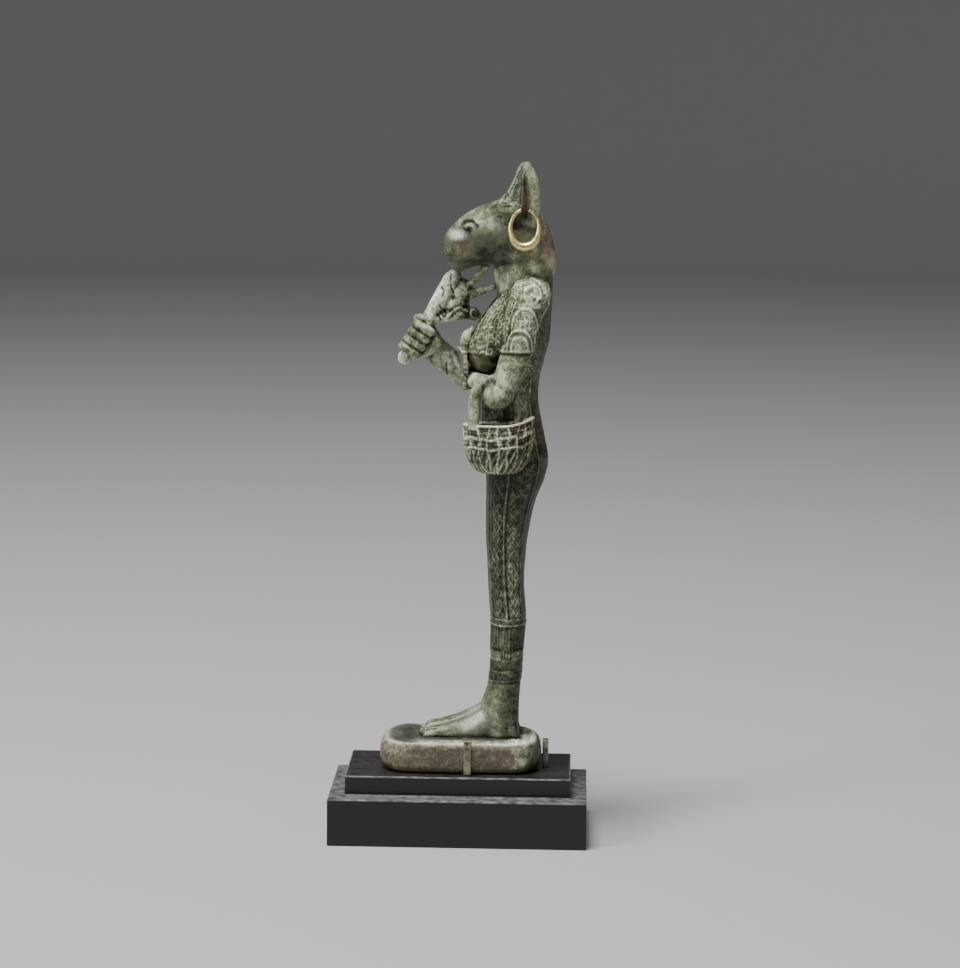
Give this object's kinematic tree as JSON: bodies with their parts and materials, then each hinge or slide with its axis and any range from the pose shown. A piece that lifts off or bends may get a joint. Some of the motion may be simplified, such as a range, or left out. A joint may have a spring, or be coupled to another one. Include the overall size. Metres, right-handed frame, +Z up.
{
  "type": "bastet cat figure",
  "caption": "Cast bronze cat-headed goddess in a patterned dress, with sistrum, aegis and basket, gold ear hoops, brass clips and a black stepped plinth.",
  "frame": {"origin": "middle of the plinth's underside", "axes": "+Z up, -Y the way the figure faces, +X to the figure's left"},
  "size_m": [0.0312, 0.0558, 0.1459],
  "materials": {
    "patinated_bronze": "dark green-grey cast bronze with pale powder in the engraved lines",
    "gold": "soft polished gold",
    "clip_brass": "dull aged brass",
    "black_lacquer": "satin black lacquer with a little dust"
  },
  "bodies": {
    "root": {"bronze_figure": "patinated_bronze", "gold_earring_left": "gold", "gold_earring_right": "gold", "brass_clip_left": "clip_brass", "brass_clip_right": "clip_brass", "brass_post_rear": "clip_brass", "display_plinth": "black_lacquer"}
  },
  "joints": []
}
